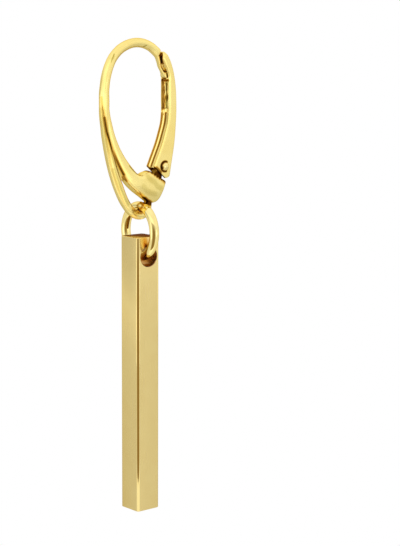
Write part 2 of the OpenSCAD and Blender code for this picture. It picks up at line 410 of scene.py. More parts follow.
def settle(obj):
    """Applies an object's modifiers to its mesh."""
    graph = bpy.context.evaluated_depsgraph_get()
    graph.update()
    made = bpy.data.meshes.new_from_object(obj.evaluated_get(graph))
    obj.modifiers.clear()
    old = obj.data
    obj.data = made
    bpy.data.meshes.remove(old)


def combine(obj, tool, operation):
    """Boolean of obj with tool, which is then removed."""
    step = obj.modifiers.new("step", "BOOLEAN")
    step.operation = operation
    step.solver = "MANIFOLD"
    step.object = tool
    settle(obj)
    bpy.data.objects.remove(tool)


def cut(obj, *tools):
    """Takes each tool out of obj."""
    for tool in tools:
        combine(obj, tool, "DIFFERENCE")
    return obj


def fuse(obj, *tools):
    """Joins each tool to obj."""
    for tool in tools:
        combine(obj, tool, "UNION")


def soften(obj, voxel, rounds):
    """Remeshes a solid evenly and rounds its edges, as casting and polishing do."""
    step = obj.modifiers.new("grid", "REMESH")
    step.mode = "VOXEL"
    step.voxel_size = voxel * MM
    step.adaptivity = 0
    step = obj.modifiers.new("round", "SMOOTH")
    step.factor = 0.5
    step.iterations = rounds
    settle(obj)
    obj.data.shade_smooth()


def vertices(obj):
    """Places of a mesh's vertices, in metres."""
    co = np.zeros(len(obj.data.vertices) * 3)
    obj.data.vertices.foreach_get("co", co)
    return co.reshape(-1, 3)


def displace(obj, amount):
    """Moves each vertex along its normal by amount(position), both in millimetres."""
    co = vertices(obj)
    normal = np.zeros(co.size)
    obj.data.vertex_normals.foreach_get("vector", normal)
    shift = np.array([amount(p) for p in co / MM])
    moved = co + normal.reshape(-1, 3) * shift[:, None] * MM
    obj.data.vertices.foreach_set("co", moved.ravel())
    obj.data.update()


def mirrored(points):
    """Points on the other side of the hook."""
    return [(x, -y, z, *rest) for x, y, z, *rest in points]


def line_distance(points, line):
    """Distance of each point from a bent line."""
    nearest = np.full(len(points), np.inf)
    for a, b in zip(line, line[1:]):
        start = np.array(a, float)
        way = np.array(b, float) - start
        along = np.clip((points - start) @ way / (way @ way), 0, 1)
        nearest = np.minimum(nearest, np.linalg.norm(points - start - along[:, None] * way, axis=1))
    return nearest


def both_sides(strokes):
    """Strokes and their mirror images on the far side of the hook."""
    return strokes + [(mirrored(line), reach, amount) for line, reach, amount in strokes]


def paint_shade_or_mark(obj, name, strokes):
    """Stores painted shade or marks per vertex: strokes are (line, reach, amount), full to a third of the
    reach.
    """
    points = vertices(obj) / MM
    depth = np.zeros(len(points))
    for line, reach, amount in strokes:
        nearness = np.clip(1.5 - 1.5 * line_distance(points, line) / reach, 0, 1)
        depth = np.maximum(depth, amount * nearness * nearness * (3 - 2 * nearness))
    obj.data.attributes.new(name, "FLOAT", "POINT").data.foreach_set("value", depth)


def arc(x, y, z, r, start, stop, count=12):
    """Points of an arc on a face of the hook's near side, angles in degrees from +X towards +Z."""
    angles = [math.radians(start + (stop - start) * k / count) for k in range(count + 1)]
    return [(x + r * math.cos(a), y, z + r * math.sin(a)) for a in angles]


def bump_at(p, centre, radius):
    """Smooth hill of height 1 about a point."""
    d = math.dist(p, centre) / radius
    return max(0.0, 1 - d * d) ** 2


def smooth_by_angle(obj, degrees):
    """Shades a mesh smooth, apart from edges sharper than an angle."""
    obj.data.shade_smooth()
    obj.data.set_sharp_from_angle(angle=math.radians(degrees))


def box_centre(node):
    """Middle of a CAD node's box, in millimetres."""
    lo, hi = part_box(node)
    return (lo + hi) / 2 / MM


# Ear hook

# Thin wall between the front strip and the branch, behind the lower part of the crease
WEB = [(-3.3, -10.4), (-3.75, -10.9), (-3.3, -12), (-2.95, -12.8), (-2.5, -13.75), (-1.8, -13.75),
       (-2.3, -12.3), (-2.9, -11.3)]
WEB_W = 0.74

# Worn seat in the loop, as an outline about the middle of the ring's wire
SADDLE = [(0.3, -0.8), (-0.8, -0.6), (-0.9, -0.3), (-0.55, -0.1), (0, -0.3)]
SADDLE_W = 0.84
SADDLE_GAP = 0.055

# Small marks on the casting: centre, radius, depth
HOOK_MARKS = [
    ((-3.4, -0.4, -1.1), 0.3, -0.03),
    ((0.9, -0.4, 0.15), 0.25, -0.03),
    ((1.04, -0.8, -13.19), 0.2, -0.06),
]

# Painted brown shade on the hook: on the tongue, in the notch, crease and gaps, under the block, at the
# ring's contact with the loop and on the shoulder, as lines of points with a reach and an amount
HOOK_BROWN = [
    ([(2.74, -0.3, -0.59), (2.94, -0.3, -1.01), (3.15, -0.3, -1.54), (3.22, -0.3, -1.96)], 0.25, 0.6),
    ([(0.8, -0.8, -13.3), (1.2, -0.8, -13.22)], 0.16, 0.9),
    ([(-4.8, -0.24, -5.1), (-4.78, -0.26, -5.6), (-4.69, -0.34, -6.4), (-4.6, -0.4, -7.2)], 0.22, 0.2),
    ([(-2.1, -0.45, -13.5), (-1.8, -0.5, -14)], 0.3, 0.7),
    ([(-2.15, -0.62, -13.45), (-1.3, -0.7, -14.3), (-0.4, -0.75, -15), (0.3, -0.78, -15.5)], 0.12, 0.35),
    ([(-0.3, -0.6, -15.5), (0.5, -0.6, -16), (1.3, -0.6, -16.35)], 0.36, 0.95),
    ([(0.7, -0.45, -15.95), (1.15, -0.4, -16.25), (1.46, -0.45, -16.5)], 0.42, 1),
    ([(0.6, -0.3, -17.2), (1, -0.3, -17), (1.15, -0.3, -16.4)], 0.3, 0.4),
    ([(0.1, -0.4, -17.2), (0.3, -0.4, -17.4)], 0.3, 0.3),
    ([(1.8, -0.47, -13), (3.3, -0.47, -14.1)], 0.6, 1),
    ([(2.4, 0, -13.05), (2.25, 0, -13.6)], 0.7, 0.8),
]

# Painted dark reflections and shade on the hook in grey-green: thin lines on the arch and the block's top
# rim, soft bands on the block, and a band beside the strip's inner edge
HOOK_GREEN = [
    ([(-3.24, -0.4, -0.62), (-3.47, -0.4, -1.06), (-3.67, -0.4, -1.53)], 0.09, 0.7),
    ([(-3.24, -0.4, -0.62), (-3.33, -0.4, -1.06), (-3.51, -0.4, -1.47)], 0.08, 0.6),
    ([(0.56, -0.4, 0.03), (0.89, -0.4, 0.15), (1.23, -0.4, 0.33)], 0.11, 0.75),
    ([(-1.93, -0.35, -0.01), (-1.44, -0.35, 0.19), (-0.26, -0.35, 0.41), (0.95, -0.35, 0.35)], 0.08, 0.5),
    ([(-1.42, -0.6, -12.33), (-0.96, -0.6, -12.86), (-0.49, -0.6, -13.21), (0.19, -0.6, -13.22),
      (0.53, -0.6, -13.02)], 0.14, 0.8),
    ([(0.94, -0.85, -13.56), (1.28, -0.85, -13.95), (1.83, -0.85, -14.25), (2.24, -0.85, -14.75),
      (2.65, -0.85, -14.89)], 0.42, 0.3),
    ([(-3.44, -0.46, -12.65), (-2.99, -0.48, -13.72), (-2.5, -0.48, -14.8), (-2.05, -0.5, -15.57),
      (-1.5, -0.5, -16.35)], 0.34, 0.35),
    ([(0.3, -0.85, -14.6), (0.75, -0.85, -15.05), (1.3, -0.85, -15.35), (1.9, -0.85, -15.5)], 0.42, 0.22),
]

# Painted shade on the shoulder: number of lines, their distance from the sides, reach and amount
SHOULDER_LINES = 7
SHOULDER_MARGIN = 0.1
SHOULDER_REACH = 0.34
SHOULDER_BROWN = 1.0

# Painted brown shade along the deeper part of the crease, and a soft painted green shade on the strip beside
# it
CREASE_BROWN = ([(x, y, z) for x, y, z, _ in CREASE[2:]], 0.25, 0.7)
CREASE_GREEN = ([(x - 0.2, y, z) for x, y, z, _ in CREASE[1:]], 0.5, 0.35)

# Slow waves of the casting: waves a millimetre, height
HOOK_WAVES = (0.9, 0.012)


def make_hook():
    """One casting: arch, front strip with loop, tongue and bead, inner branch, base block and hinge eye."""
    wire = loft("hook_wire", wire_sections(FRONT_WIRE))
    cut(wire, prism("notch", LIP_ROOM, 2 * WIRE_D))
    base = loft("base", edge_sections(BRANCH))
    cut(base, prism("shoulder", SHOULDER + SHOULDER_ROOM, 2 * BASE_W))
    neck = prism("neck", [(RIVET_X + x, RIVET_Z + z) for x, z in NECK], EYE_W)
    fuse(wire, loft("tongue", wire_sections(TONGUE, sides=32)),
         cross_pin("bead", *BEAD, BEAD_D, BEAD_W),
         base, neck, cross_pin("eye", RIVET_X, RIVET_Z, 2 * EYE_R, EYE_W),
         prism("web", WEB, WEB_W), saddle())
    cut(wire, cross_pin("bore", RIVET_X, RIVET_Z, BORE_D, 2 * LEVER_W))
    soften(wire, *HOOK_GRID)
    displace(wire, hook_relief)
    cut(wire, tube("near_crease", CREASE), tube("far_crease", mirrored(CREASE)))
    smooth_by_angle(wire, degrees=35)
    # Painted shade and dark reflections, stored as brown and green on the vertices
    paint_shade_or_mark(wire, "brown", both_sides([*HOOK_BROWN, CREASE_BROWN]) + shoulder_strokes())
    paint_shade_or_mark(wire, "green", both_sides([*HOOK_GREEN, CREASE_GREEN]))
    wire.name = "hook_body"
    return wire


def saddle():
    """Seat under the ring's wire that its rubbing has worn into the loop."""
    centre = box_centre("jump_ring")
    x = centre.x
    z = centre.z + RING_R
    seat = prism("saddle", [(x + px, z + pz) for px, pz in SADDLE], SADDLE_W)
    return cut(seat, cross_pin("wire", x, z, RING_WIRE + 2 * SADDLE_GAP, 2 * SADDLE_W))


def shoulder_strokes():
    """Close lines of painted shade across the shoulder, which lies in the lever's shade."""
    xs, zs = zip(*SHOULDER)
    side = BASE_W / 2 - SHOULDER_MARGIN
    strokes = []
    for k in range(SHOULDER_LINES):
        x = xs[0] + (xs[-1] - xs[0]) * (k + 0.5) / SHOULDER_LINES
        z = float(np.interp(x, xs, zs))
        strokes.append(([(x, -side, z), (x, side, z)], SHOULDER_REACH, SHOULDER_BROWN))
    return strokes


def hook_relief(p):
    """Slow waves of the casting and a few small marks."""
    rate, height = HOOK_WAVES
    wave = noise.noise(Vector(p) * rate) * height
    marks = sum(depth * bump_at(p, centre, radius) for centre, radius, depth in HOOK_MARKS)
    return wave + marks


# Lever

# Brown on the lever: painted shade in the snap bead's seat and at the end of the rough stretch, a small mark,
# painted shadow round the rivet's head, and painted shade in the lower corners of the groove
LEVER_BROWN = [
    ([(3.9, -0.5, -3.5), (3.9, 0, -3.5)], 0.25, 0.8),
    ([(3.85, -0.5, -6.55), (3.85, 0.5, -6.55)], 0.16, 0.5),
    ([(2.45, -0.8, -10.86), (2.33, -0.8, -11.13), (2.26, -0.8, -11.34)], 0.13, 0.8),
    (arc(RIVET_X, -LEVER_W / 2, RIVET_Z, HEAD_D / 2 + 0.04, 60, 290), 0.18, 1),
    ([(2.1, 0.66, -12.75), (2.6, 0.7, -13.2)], 0.34, 0.85),
    ([(2, -0.62, -12.7), (2.6, -0.62, -13.25)], 0.26, 0.8),
]

# Thin lines of painted green and brown shade along the rough stretch, which aren't mirrored
LEVER_GREEN = [
    ([(3.88, 0.62, -3.7), (3.88, 0.62, -6.4)], 0.2, 0.4),
    ([(4.08, -0.1, -3.8), (4.1, -0.08, -5.6), (4.08, 0, -6.4)], 0.26, 0.8),
]
ROUGH_BROWN = [
    ([(3.98, 0.43, -3.7), (3.98, 0.43, -6.5)], 0.24, 0.75),
    ([(4.08, 0.16, -5.2), (4, 0.3, -6.3)], 0.16, 0.6),
    ([(4.1, -0.12, -3.9), (4.1, -0.1, -5.6)], 0.2, 0.95),
]

# Lines of painted brown shade in the groove: first and last place between the lever's rows and the step, then
# y, share of the depth, reach and amount of each line
GROOVE_LINES = (8.3, 13.4, 0.4)
DEEP_LINE = (0.24, 1, 0.18, 0.85)
FAR_LINE = (INNER_W / 2 + 0.03, 0.2, 0.15, 0.6)
NEAR_LINE = (-INNER_W / 2 - 0.03, 0.2, 0.12, 0.45)

# Relief of the lever: slow waves as waves a millimetre and height, the rough stretch, the wear of the back
LEVER_WAVES = (0.8, 0.01)
ROUGH_WAVES = (5, 5, 1.6)
ROUGH_HEIGHT = 0.07
ROUGH_TOP = -3.3
ROUGH_FOOT = -7.2
ROUGH_SIDE = INNER_W / 2 + 0.02
WORN_FROM = 4.1
WORN_WIDTH = 0.6
WORN_DEPTH = 0.035


def make_lever():
    """Channel-shaped lever, open to the front and to its lower end."""
    body = loft("lever_body", lever_sections(LEVER_ROWS))
    rows = np.array(LEVER_ROWS, float)
    deep = [smooth_row(rows, u) for u in np.arange(POCKET_ROW, len(rows) - 1, 0.5)]
    pocket = [(r[2] - LEVER_BACK, r[3]) for r in deep] + [(r[0] + POCKET_FRONT, r[1]) for r in reversed(deep)]
    slope = math.atan2(LEVER_END[1][1] - LEVER_END[0][1], LEVER_END[1][0] - LEVER_END[0][0])
    along = Vector((math.cos(slope), math.sin(slope)))
    down = Vector((math.sin(slope), -math.cos(slope)))
    start = Vector(LEVER_END[0]) - REACH * along
    stop = start + 3 * REACH * along
    end = [start, stop, stop + REACH * down, start + REACH * down]
    cut(body, loft("groove", groove_sections(GROOVE)),
        prism("pocket", pocket, INNER_W),
        block("back_end", (RIVET_X - REACH, BACK_END_Z), (RIVET_X + REACH, BACK_END_Z - REACH), INNER_W),
        prism("end", [tuple(c) for c in end], 2 * LEVER_W),
        ear_corner(),
        cross_pin("bore", RIVET_X, RIVET_Z, BORE_D, 2 * LEVER_W))
    soften(body, *LEVER_GRID)
    displace(body, lever_relief)
    # Painted shade, and one small mark, stored as brown and green on the vertices
    paint_shade_or_mark(body, "brown", both_sides(LEVER_BROWN) + ROUGH_BROWN + groove_strokes())
    paint_shade_or_mark(body, "green", LEVER_GREEN)
    return body


def groove_strokes():
    """Lines of painted shade beside the middle of the groove and along its two walls."""
    rows = np.array(LEVER_ROWS, float)
    edge = [smooth_row(rows, u)[:2] for u in np.arange(*GROOVE_LINES)]
    return [([(x + GROOVE_DEPTH * share, y, z) for x, z in edge], reach, amount)
            for y, share, reach, amount in (DEEP_LINE, FAR_LINE, NEAR_LINE)]


def ear_corner():
    """What is cut outside the ears' arc about the rivet."""
    corner = block("corner", (RIVET_X, RIVET_Z - REACH), (RIVET_X + REACH, RIVET_Z - EAR_START), 2 * LEVER_W)
    return cut(corner, cross_pin("arc", RIVET_X, RIVET_Z, 2 * EAR_R, 3 * LEVER_W))


def lever_relief(p):
    """Slow waves outside, a rough unpolished stretch inside the channel, and a little wear on the back."""
    rate, height = LEVER_WAVES
    wave = noise.noise(Vector(p) * rate) * height
    inside = abs(p[1]) < ROUGH_SIDE and ROUGH_FOOT < p[2] < ROUGH_TOP
    rough = noise.noise(Vector([c * k for c, k in zip(p, ROUGH_WAVES)])) * ROUGH_HEIGHT if inside else 0
    worn = WORN_DEPTH * min(max((p[0] - WORN_FROM) / WORN_WIDTH, 0), 1)
    return wave + rough - worn


# Rivet, ring and bar

# Steps of the rivet's dome, and painted shadow round its heads: start and stop in degrees, reach, amount
DOME_STEPS = 12
HEAD_BROWN = [(75, 205, 0.22, 1), (235, 285, 0.2, 0.9)]

# Loop of painted dark reflection round the ring's top highlight: angle of its middle about the wire in
# degrees and half the loop's height in radians, y of its middle and half its width, steps, then reach and
# amount
RING_DARK_ANGLE = 12
RING_DARK_TALL = 0.7
RING_DARK_Y = -0.62
RING_DARK_WIDE = 0.4
RING_DARK_STEPS = 12
RING_DARK_REACH = 0.26
RING_DARK_BROWN = 0.55

# Steps round each corner of the bar, and how far the drill for its hole runs past its faces
CORNER_STEPS = 8
DRILL_OVER = 0.5


def make_rivet():
    """Pin with a round head on each side."""
    seat = LEVER_W / 2 + HEAD_GAP
    ball_r = ((HEAD_D / 2) ** 2 + HEAD_H ** 2) / (2 * HEAD_H)
    dome = [(HEAD_D / 2, 0)]
    for k in range(1, DOME_STEPS + 1):
        a = math.asin(HEAD_D / 2 / ball_r) * (1 - k / DOME_STEPS)
        dome.append((ball_r * math.sin(a), ball_r * math.cos(a) - ball_r + HEAD_H))
    upper = [(RIVET_D / 2, seat), (HEAD_D / 2 - HEAD_EDGE, seat)]
    upper += [(r, seat + HEAD_EDGE + h) for r, h in dome[:-1]] + [(0, seat + HEAD_H)]
    profile = [(r, -h) for r, h in reversed(upper)] + upper
    place = Matrix.Translation((RIVET_X, 0, RIVET_Z)) @ Matrix.Rotation(math.pi / 2, 4, "X")
    obj = turned("rivet_pin", profile, 64, place)
    smooth_by_angle(obj, degrees=40)
    rim = [(arc(RIVET_X, -seat, RIVET_Z, HEAD_D / 2, start, stop), reach, amount)
           for start, stop, reach, amount in HEAD_BROWN]
    paint_shade_or_mark(obj, "brown", both_sides(rim))
    return obj


def make_ring():
    """Round wire ring, turned a little about the upright."""
    centre = box_centre("jump_ring")
    around = 160
    sides = 40
    turn = Matrix.Rotation(math.radians(-RING_TURN), 4, "Z")
    verts = []
    for k in range(around):
        a = 2 * math.pi * k / around
        for m in range(sides):
            b = 2 * math.pi * m / sides
            r = RING_R + RING_WIRE / 2 * math.cos(b)
            point = Vector((RING_WIRE / 2 * math.sin(b), r * math.cos(a), r * math.sin(a)))
            verts.append(centre + turn @ point)
    faces = []
    for k in range(around):
        for m in range(sides):
            n = (k + 1) % around
            o = (m + 1) % sides
            faces.append((k * sides + m, n * sides + m, n * sides + o, k * sides + o))
    obj = solid("ring_wire", verts, faces)
    obj.data.shade_smooth()
    paint_shade_or_mark(obj, "brown", [(ring_dark_loop(centre), RING_DARK_REACH, RING_DARK_BROWN)])
    return obj


def ring_dark_loop(centre):
    """Loop of points on the ring's wire near its top, along which a dark reflection of the hook is painted.
    """
    half = RING_WIRE / 2
    points = []
    for k in range(RING_DARK_STEPS + 1):
        a = 2 * math.pi * k / RING_DARK_STEPS
        angle = math.radians(RING_DARK_ANGLE) + RING_DARK_TALL * math.sin(a)
        points.append((centre.x - half * math.cos(angle), RING_DARK_Y + RING_DARK_WIDE * math.cos(a),
                       centre.z + (RING_R + half * math.sin(angle))))
    return points


def bar_outline(inset):
    """Rounded square of the bar's section, drawn in by inset."""
    half = BAR_SIDE / 2 - inset
    r = BAR_EDGE_R - inset
    points = []
    for quarter in range(4):
        for k in range(CORNER_STEPS + 1):
            a = math.pi / 2 * (quarter + k / CORNER_STEPS)
            cx = (half - r) * (1 if quarter in (0, 3) else -1)
            cy = (half - r) * (1 if quarter in (0, 1) else -1)
            px = signed_power(math.cos(a), 2 / BAR_EDGE_SQUARE)
            py = signed_power(math.sin(a), 2 / BAR_EDGE_SQUARE)
            points.append((cx + r * px, cy + r * py))
    return points


def make_bar():
    """Square bar with softened rims and a cross hole whose mouths are lightly chamfered."""
    lo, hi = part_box("bar")
    x = (lo.x + hi.x) / 2 / MM
    top = hi.z / MM
    bottom = lo.z / MM
    bend = BAR_RIM * 0.3
    rim = [(0, BAR_RIM), (bend, bend), (BAR_RIM, 0)]
    levels = [(bottom + h, inset) for h, inset in rim] + [(top - h, inset) for h, inset in reversed(rim)]
    sections = [np.array([(x + px, py, z) for px, py in bar_outline(inset)]) for z, inset in levels]
    body = loft("bar_body", sections)
    face = BAR_SIDE / 2
    r = HOLE_D / 2
    mouth = r + HOLE_FLARE
    past = face + DRILL_OVER
    half = [(r, face - HOLE_FLARE), (mouth, face), (mouth + DRILL_OVER, past), (0, past)]
    profile = [(a, -h) for a, h in reversed(half)] + half
    place = Matrix.Translation((x, 0, top - HOLE_DROP)) @ Matrix.Rotation(math.pi / 2, 4, "X")
    cut(body, turned("drill", profile, 96, place))
    smooth_by_angle(body, degrees=25)
    return body


# Materials

# Colours that painted shade and marks multiply the gold by: brown and green by their depth, and in hollows
# by their openness
BROWN_SHADE = [(0, (1, 1, 1)), (0.25, (0.9, 0.7, 0.4)), (0.5, (0.55, 0.36, 0.14)), (1, (0.08, 0.03, 0.006))]
GREEN_SHADE = [(0, (1, 1, 1)), (0.5, (0.68, 0.66, 0.45)), (1, (0.28, 0.25, 0.09))]
HOLLOW_SHADE = [(0.05, (0.1, 0.03, 0.006)), (0.35, (0.36, 0.2, 0.08))]

# Tint of reflections at glancing angles: of the plated golds, of the bar's sawn ends
EDGE_TINT = (0.8, 0.62, 0.3, 1)
SAWN_TINT = (0.4, 0.24, 0.1, 1)

# Features per metre of the slow changes in colour, and how near walls paint shade into a hollow, in
# millimetres
TONE_SCALE = 600
HOLLOW_REACH = 0.5

# Shade over the bar's sawn ends: direction, start and end along it in millimetres, colours on the way
SAWN_WAY = (0.9, 0.45, 0)
SAWN_SPAN = (-1.2, 1.2)
SAWN_SHADE = [(0.2, (1, 0.95, 0.9)), (0.45, (0.3, 0.2, 0.1)), (1, (0.2, 0.12, 0.07))]

# Painted amber reflection of the ring under the bar's hole: x and z of its middle, half width and half
# height, colour
RING_REFLECTION_AT = (0.02, -20.43)
RING_REFLECTION_RADII = (0.62, 1.1)
RING_REFLECTION_AMBER = (0.86, 0.6, 0.3)

# Slots of the bar's materials after the first, how far round its hole the hole's material goes, and the parts
# of a face's direction that tell a flat face, an upright one and one of the hole's wall
END_SLOT, EDGE_SLOT, HOLE_SLOT = 1, 2, 3
HOLE_RIM = 0.06
FLAT = 0.99
UPRIGHT = 0.1
HOLE_WALL = 0.9


def new_material(name):
    """Material with its nodes and links."""
    mat = bpy.data.materials.new(name)
    mat.use_nodes = True
    return mat, mat.node_tree.nodes, mat.node_tree.links


def new_node(nodes, kind, values=None, **settings):
    """Shader node of a kind, with values for its inputs and its settings."""
    node = nodes.new("ShaderNode" + kind)
    for part, value in (values or {}).items():
        node.inputs[part].default_value = value
    for part, value in settings.items():
        setattr(node, part, value)
    return node


def glow_material(name):
    """Material that only gives light, and its emission node."""
    mat, nodes, links = new_material(name)
    nodes.remove(nodes["Principled BSDF"])
    glow = new_node(nodes, "Emission")
    links.new(glow.outputs["Emission"], nodes["Material Output"].inputs["Surface"])
    return mat, nodes, links, glow


def vector_math(nodes, links, operation, source, other=None):
    """Result of an operation on a direction or place, with a fixed second one if it takes two."""
    node = new_node(nodes, "VectorMath", {1: other} if other else None, operation=operation)
    links.new(source, node.inputs[0])
    return node.outputs["Value" if operation in ("LENGTH", "DOT_PRODUCT") else "Vector"]


def noise_node(nodes, links, scale, stretch=(1, 1, 1), detail=3.0):
    """Noise in object space, in features per metre."""
    place = new_node(nodes, "TexCoord")
    mapping = new_node(nodes, "Mapping", {"Scale": stretch})
    texture = new_node(nodes, "TexNoise", {"Scale": scale, "Detail": detail})
    links.new(place.outputs["Object"], mapping.inputs["Vector"])
    links.new(mapping.outputs["Vector"], texture.inputs["Vector"])
    return texture.outputs["Fac"]


def ramp_node(nodes, links, source, stops):
    """Colour ramp: stops are (position, colour)."""
    ramp = new_node(nodes, "ValToRGB")
    elements = ramp.color_ramp.elements
    elements[0].position = stops[0][0]
    elements[0].color = (*stops[0][1], 1)
    elements[1].position = stops[-1][0]
    elements[1].color = (*stops[-1][1], 1)
    for position, colour in stops[1:-1]:
        elements.new(position).color = (*colour, 1)
    links.new(source, ramp.inputs["Fac"])
    return ramp.outputs["Color"]


def spread(nodes, links, source, start, stop, low=0.0, high=1.0, kind="LINEAR"):
    """Maps start to stop onto low to high."""
    ends = {"From Min": start, "From Max": stop, "To Min": low, "To Max": high}
    node = new_node(nodes, "MapRange", ends, interpolation_type=kind)
    links.new(source, node.inputs["Value"])
    return node.outputs["Result"]


def shade_node(nodes, links, name, colours):
    """Colour of a painted shade or mark stored on the mesh."""
    depth = new_node(nodes, "Attribute", attribute_name=name)
    return ramp_node(nodes, links, depth.outputs["Fac"], colours)


def multiply(nodes, links, first, second):
    """Product of two colours."""
    mix = new_node(nodes, "Mix", {"Factor": 1.0}, data_type="RGBA", blend_type="MULTIPLY")
    links.new(first, mix.inputs[6])
    links.new(second, mix.inputs[7])
    return mix.outputs[2]


def gold(name, light, deep, rough, cell, grain=(1, 1, 1), relief=0.002, shade_open=0.7, tint=EDGE_TINT):
    """Gold with slow colour changes, fine relief and roughness, and painted shade where light hardly reaches.

    light and deep are the two golds, rough the least and greatest roughness, cell the fine relief's size in
    millimetres, grain its stretch, relief its height, and shade_open, the openness at which a hollow's
    painted shade ends.
    """
    mat, nodes, links = new_material(name)
    shader = nodes["Principled BSDF"]
    shader.inputs["Metallic"].default_value = 1.0
    shader.inputs["Specular Tint"].default_value = tint
    slow = noise_node(nodes, links, TONE_SCALE, detail=2)
    tone = ramp_node(nodes, links, slow, [(0.3, deep), (0.7, light)])
    # Painted shade in hollows: the gold darkens where nearby walls close a point in
    hidden = new_node(nodes, "AmbientOcclusion", {"Distance": HOLLOW_REACH * MM}, samples=16)
    hollow = ramp_node(nodes, links, hidden.outputs["AO"], [*HOLLOW_SHADE, (shade_open, (1, 1, 1))])
    colour = multiply(nodes, links, tone, hollow)
    colour = multiply(nodes, links, colour, shade_node(nodes, links, "brown", BROWN_SHADE))
    colour = multiply(nodes, links, colour, shade_node(nodes, links, "green", GREEN_SHADE))
    links.new(colour, shader.inputs["Base Color"])
    fine = noise_node(nodes, links, 1 / (cell * MM), stretch=grain)
    links.new(spread(nodes, links, fine, 0, 1, *rough), shader.inputs["Roughness"])
    bump = new_node(nodes, "Bump", {"Strength": 1.0, "Distance": relief * MM})
    links.new(fine, bump.inputs["Height"])
    links.new(bump.outputs["Normal"], shader.inputs["Normal"])
    return mat


def shade_colour(mat, source, stops):
    """Multiplies a material's colour by a ramp over a value of its nodes."""
    nodes = mat.node_tree.nodes
    links = mat.node_tree.links
    colour = nodes["Principled BSDF"].inputs["Base Color"]
    ramp = ramp_node(nodes, links, source, stops)
    links.new(multiply(nodes, links, colour.links[0].from_socket, ramp), colour)


def shade_across(mat, way, low, high, stops):
    """Multiplies a material's colour by a ramp along a direction, from low to high millimetres."""
    nodes = mat.node_tree.nodes
    links = mat.node_tree.links
    place = new_node(nodes, "TexCoord")
    along = vector_math(nodes, links, "DOT_PRODUCT", place.outputs["Object"], way)
    shade_colour(mat, spread(nodes, links, along, low * MM, high * MM), stops)


def reflection_patch(mat, centre, radii, shade):
    """Multiplies a material's colour by a painted reflection in a soft upright ellipse, all the way through
    in Y.
    """
    nodes = mat.node_tree.nodes
    links = mat.node_tree.links
    place = new_node(nodes, "TexCoord")
    x, z = centre
    across, upright = [1 / (r * MM) for r in radii]
    shift = (-x * MM * across, 0, -z * MM * upright)
    mapping = new_node(nodes, "Mapping", {"Scale": (across, 0, upright), "Location": shift})
    links.new(place.outputs["Object"], mapping.inputs["Vector"])
    distance = vector_math(nodes, links, "LENGTH", mapping.outputs["Vector"])
    shade_colour(mat, distance, [(0.25, shade), (1, (1, 1, 1))])


def finish_bar(obj, end_mat, edge_mat, hole_mat):
    """Gives the bar's end faces, its worn long edges and its hole materials of their own."""
    lo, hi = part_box("bar")
    axis = Vector(((lo.x + hi.x) / 2, 0, hi.z - HOLE_DROP * MM))
    for mat in (end_mat, edge_mat, hole_mat):
        obj.data.materials.append(mat)
    for face in obj.data.polygons:
        nx, ny, nz = [abs(part) for part in face.normal]
        away = Vector((face.center.x - axis.x, 0, face.center.z - axis.z)).length
        if away < (HOLE_D / 2 + HOLE_RIM) * MM and ny < HOLE_WALL:
            face.material_index = HOLE_SLOT
        elif nz > FLAT:
            face.material_index = END_SLOT
        elif nx < FLAT and ny < FLAT and nz < UPRIGHT:
            face.material_index = EDGE_SLOT


# Stage: floor, light and camera. Its sizes are in metres

# Camera: place, view, roll in degrees, focal length and sensor width in millimetres, nearest distance shown
CAMERA_AT = Vector((-0.104543, -0.132051, 0.002345))
CAMERA_WAY = Vector((0.64401, 0.74934, -0.15407))
CAMERA_ROLL = 0.3
CAMERA_LENS = 104.8
SENSOR_WIDTH = 36
NEAREST = 0.001

# Direction back to the camera, in degrees from +Y towards +X
VIEW_AZIMUTH = -139.4


def towards(side, height):
    """Direction from the object: degrees from the camera towards the picture's left, and elevation."""
    a = math.radians(VIEW_AZIMUTH + side)
    e = math.radians(height)
    return Vector((math.sin(a) * math.cos(e), math.cos(a) * math.cos(e), math.sin(e)))


# Brightness of the floor at distances from the object, and of the tent by the sine of the elevation
FLOOR_LIGHT = [(0, 0.5), (0.06, 0.68), (0.28, 0.66), (0.34, 0.9), (0.5, 0.95), (1, 0.95)]
TENT_LIGHT = [(0, 0.95), (0.1, 0.95), (0.4, 1.12), (0.8, 1.05), (1, 1.15)]
BRIGHTEST = 1.5

# Duller and brighter parts of the tent and the floor: direction, cosine of half their width, what they take
TENT_SHADES = [(towards(100, -9), 0.7, 0.4)]
FLOOR_SHADES = [(towards(0, 0), 0.3, -0.6), (towards(-81, 0), 0.5, -0.08)]

# Floor: half its side, and how far it lies under the bar
FLOOR_HALF = 2.0
FLOOR_DROP = 0.012

# Square lights: name, degrees towards the picture's left, elevation, distance, side, brightness
SOFTBOXES = [
    ("front_light", 20, 18, 0.45, 0.5, 0.25),
    ("left_panel", 62, -6, 0.16, 0.09, 0.6),
    ("right_panel", -52, -6, 0.16, 0.07, 0.5),
]
LIGHT_TARGET = Vector((0, 0, -0.015))

# Dark card before the ring and bar: degrees towards the picture's left, distance, width, upper edge, how far
# it goes under the bar, upper end of its dark middle, cells along an edge, colours of middle and sides
GAP_SIDE = 4
GAP_DISTANCE = 0.024
GAP_WIDTH = 0.048
GAP_TOP = -0.008
GAP_DROP = 0.011
GAP_CORE_TOP = -0.0265
GAP_CELLS = 24
GAP_DARK = (0.3, 0.2, 0.08)
GAP_PALE = (0.85, 0.85, 0.8)

# Lights that reach only some pieces: two before the card, one over the floor and one under the loop
HOOK_LIGHT = 0.34
STRIP_LIGHT = 0.4
STRIP_LIGHT_TOP = -0.018
LOW_LIGHT = 0.2
LOW_LIGHT_SIZE = 0.6
LOW_LIGHT_DROP = 0.01
CURL_LIGHT = 0.6
CURL_LIGHT_SIZE = 2.5 * MM
CURL_LIGHT_UP = 0.2 * MM


